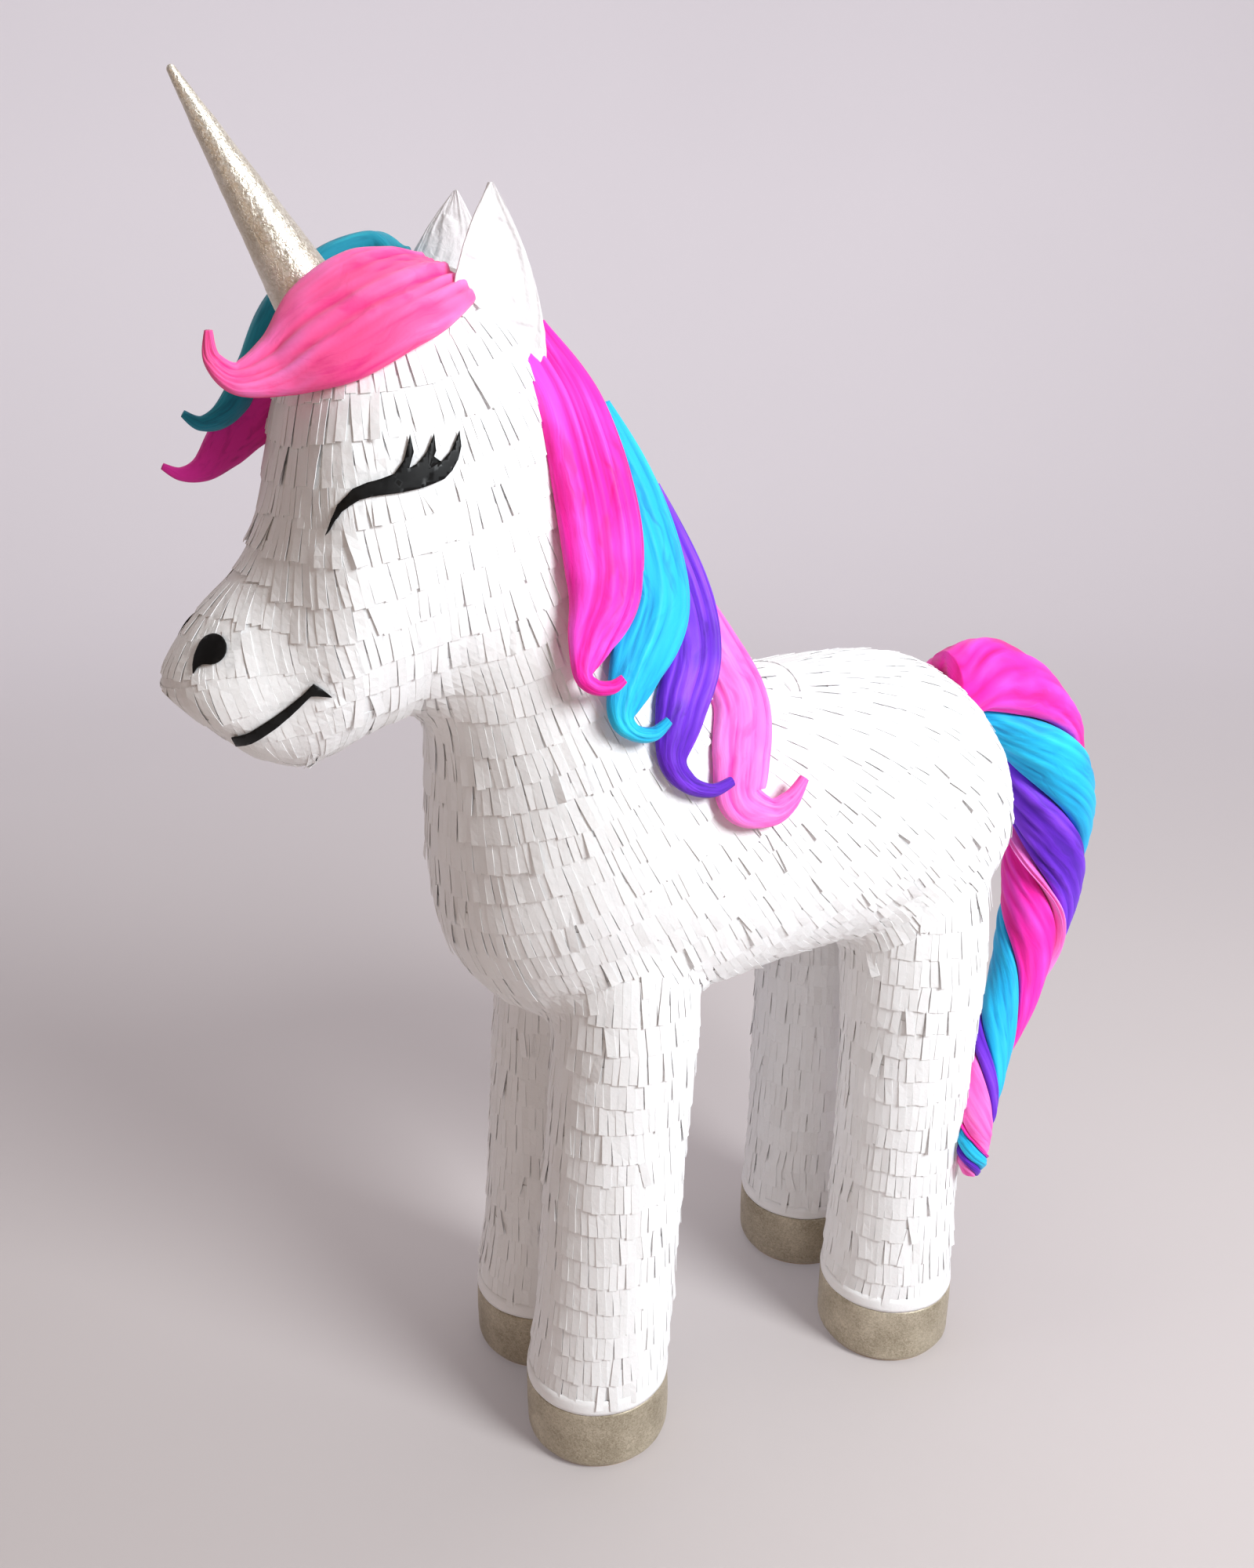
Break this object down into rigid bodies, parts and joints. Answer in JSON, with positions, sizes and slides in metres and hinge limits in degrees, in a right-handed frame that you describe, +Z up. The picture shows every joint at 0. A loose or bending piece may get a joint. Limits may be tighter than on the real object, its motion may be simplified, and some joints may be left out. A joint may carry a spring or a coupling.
{
  "type": "pinata",
  "caption": "Large standing unicorn pinata covered in cut white tissue fringe, with crepe paper mane and tail, a gold horn and a filling door in its back.",
  "frame": {"origin": "on the floor, under the middle of the figure's box", "axes": "the unicorn faces -Y, its left side is +X, +Z is up"},
  "size_m": [0.3023, 0.8869, 1.1344],
  "materials": {
    "black_paper": "smooth black",
    "card": "brown corrugated card",
    "crepe_coral": "pleated crepe paper",
    "crepe_deep_magenta": "pleated crepe paper",
    "crepe_magenta": "pleated crepe paper",
    "crepe_pink": "pleated crepe paper",
    "crepe_purple": "pleated crepe paper",
    "crepe_teal": "pleated crepe paper",
    "crepe_turquoise": "pleated crepe paper",
    "hoof_glitter": "champagne grey glitter",
    "metallic_paper": "crinkled champagne gold foil paper",
    "white_tissue": "cut tissue fringe",
    "white_tissue_wrap": "smooth crumpled tissue"
  },
  "bodies": {
    "carcass": {"torso_shell_left": "card", "torso_shell_right": "card", "neck_shell_left": "card", "neck_shell_right": "card", "head_shell_left": "card", "head_shell_right": "card", "chest_bulkhead": "card", "poll_bulkhead": "card", "torso_fringe": "white_tissue", "neck_fringe": "white_tissue", "head_fringe": "white_tissue", "leg_tube_front_left": "card", "leg_tube_front_right": "card", "leg_tube_hind_left": "card", "leg_tube_hind_right": "card", "leg_fringe_front_left": "white_tissue", "leg_fringe_front_right": "white_tissue", "leg_fringe_hind_left": "white_tissue", "leg_fringe_hind_right": "white_tissue", "hoof_front_left": "hoof_glitter", "hoof_front_right": "hoof_glitter", "hoof_hind_left": "hoof_glitter", "hoof_hind_right": "hoof_glitter", "sole_front_left": "card", "sole_front_right": "card", "sole_hind_left": "card", "sole_hind_right": "card", "horn_cone": "card", "horn_wrap": "metallic_paper", "ear_left": "white_tissue_wrap", "ear_right": "white_tissue_wrap", "eye_left": "black_paper", "eye_right": "black_paper", "nostril_left": "black_paper", "nostril_right": "black_paper", "mouth": "black_paper", "forelock_pink": "crepe_coral", "forelock_teal": "crepe_teal", "forelock_magenta": "crepe_deep_magenta", "mane_magenta": "crepe_magenta", "mane_turquoise": "crepe_turquoise", "mane_purple": "crepe_purple", "mane_pink": "crepe_pink", "tail_core": "card", "tail_magenta": "crepe_magenta", "tail_turquoise": "crepe_turquoise", "tail_purple": "crepe_purple", "tail_pink": "crepe_pink"},
    "filling_door": {"door_panel": "card", "door_fringe": "white_tissue"}
  },
  "joints": [
    {"name": "filling_door_hinge", "type": "hinge", "parent": "carcass", "child": "filling_door", "pos_m": [-0.05, 0.12, 0.6865], "axis": [0, -1, 0], "range_deg": [0, 115]}
  ]
}
